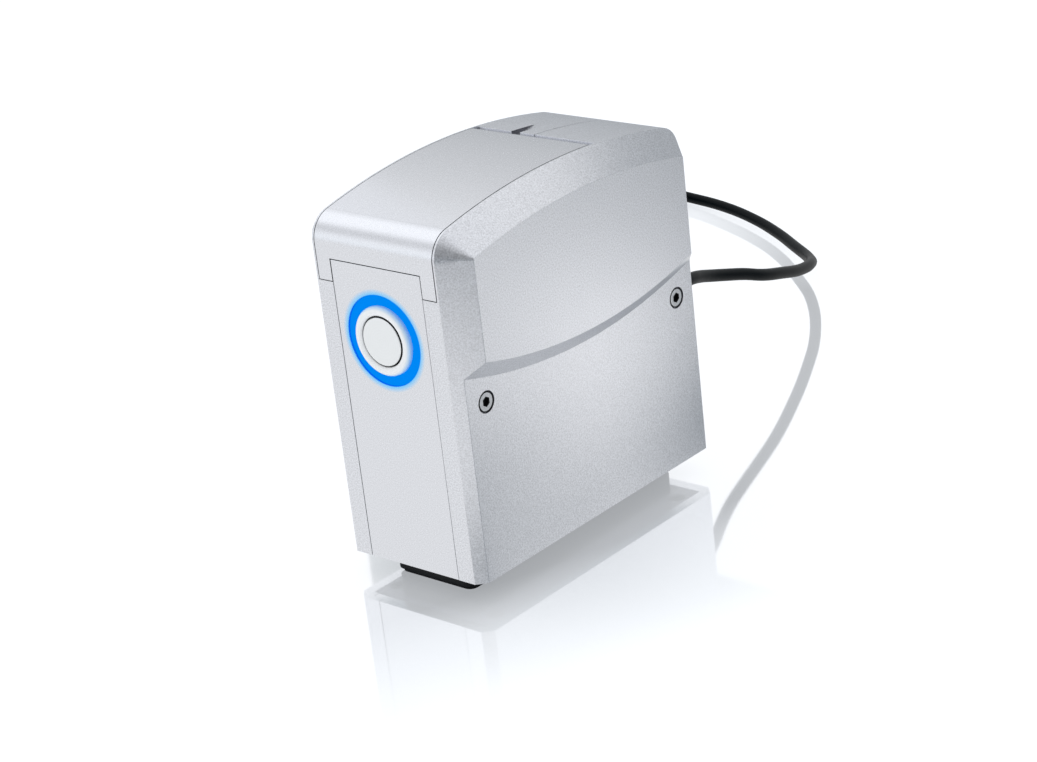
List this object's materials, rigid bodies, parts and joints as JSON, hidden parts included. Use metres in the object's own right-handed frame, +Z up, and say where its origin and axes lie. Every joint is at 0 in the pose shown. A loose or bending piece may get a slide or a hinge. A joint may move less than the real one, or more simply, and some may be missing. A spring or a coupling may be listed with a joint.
{
  "type": "drop shape analyzer",
  "caption": "Hand-held drop shape analyzer: arched aluminium housing with a hinged top lid, a round lit push button, a black foot with a measuring window and a cable with its plug.",
  "frame": {"origin": "middle of the housing's footprint on the surface under test", "axes": "+Z up, -Y out of the front face with the button, +Y out of the back where the cable leaves, +X to the right as seen from the front"},
  "size_m": [0.2805, 0.3653, 0.1356],
  "materials": {
    "satin_aluminium": "bead-blasted, clear anodised",
    "plain_aluminium": "milled",
    "black_aluminium": "milled, black anodised",
    "bright_steel": "turned",
    "black_steel": "black oxide",
    "button_metal": "fine turned",
    "light_ring": "frosted, lit from behind",
    "white_plastic": "moulded",
    "grey_plastic": "moulded",
    "blue_plastic": "moulded, fluted",
    "black_plastic": "moulded",
    "black_rubber": "matt",
    "foam": "closed-cell foam",
    "clear_plastic": "clear moulded",
    "optical_glass": "polished",
    "circuit_board": "solder mask",
    "cable_jacket": "smooth satin jacket"
  },
  "bodies": {
    "housing": {"side_shell_right": "satin_aluminium", "side_shell_left": "satin_aluminium", "front_panel": "satin_aluminium", "catch_magnets": "bright_steel", "hinge_pins": "bright_steel", "side_screws": "bright_steel", "base_plate": "black_aluminium", "foot_block": "black_plastic", "foot_sole": "black_rubber", "foot_screws": "black_steel", "front_upright": "plain_aluminium", "rear_upright": "plain_aluminium", "frame_screws": "black_steel", "cartridge_tray": "grey_plastic", "cartridge_left": "clear_plastic", "cartridge_right": "clear_plastic", "cartridge_caps": "blue_plastic", "cartridge_dock": "grey_plastic", "dosing_tubes": "clear_plastic", "dosing_valves": "bright_steel", "dosing_manifold": "grey_plastic", "dosing_nozzles": "bright_steel", "air_pump": "bright_steel", "optics_bracket": "plain_aluminium", "camera_prism": "optical_glass", "light_prism": "optical_glass", "lens_barrel": "black_plastic", "camera_lens": "optical_glass", "camera_body": "black_plastic", "camera_board": "circuit_board", "light_tube": "black_plastic", "light_diffuser": "white_plastic", "light_board": "circuit_board", "mainboard": "circuit_board", "board_standoffs": "bright_steel", "board_screws": "bright_steel", "inner_lead": "cable_jacket", "button_light_ring": "light_ring", "button_collar": "white_plastic", "button_nut": "bright_steel", "button_switch": "black_plastic", "strain_relief": "black_rubber", "cable_lead": "cable_jacket", "cable_coil": "cable_jacket", "cable_tail": "cable_jacket", "cable_tie": "black_plastic", "plug_overmould": "black_plastic", "plug_shell": "bright_steel", "plug_tongue": "white_plastic"},
    "lid": {"lid": "satin_aluminium", "lid_cushion": "foam", "lid_magnets": "bright_steel"},
    "button": {"button_cap": "button_metal"}
  },
  "joints": [
    {"name": "lid_hinge", "type": "hinge", "parent": "housing", "child": "lid", "pos_m": [0, 0.0168, 0.13204], "axis": [-1, 0, 0], "range_deg": [0, 90]},
    {"name": "button_press", "type": "slide", "parent": "housing", "child": "button", "axis": [0, 1, 0], "range_m": [0, 0.0012], "stiffness_N_per_m": 1500, "springref_m": -0.0012}
  ]
}
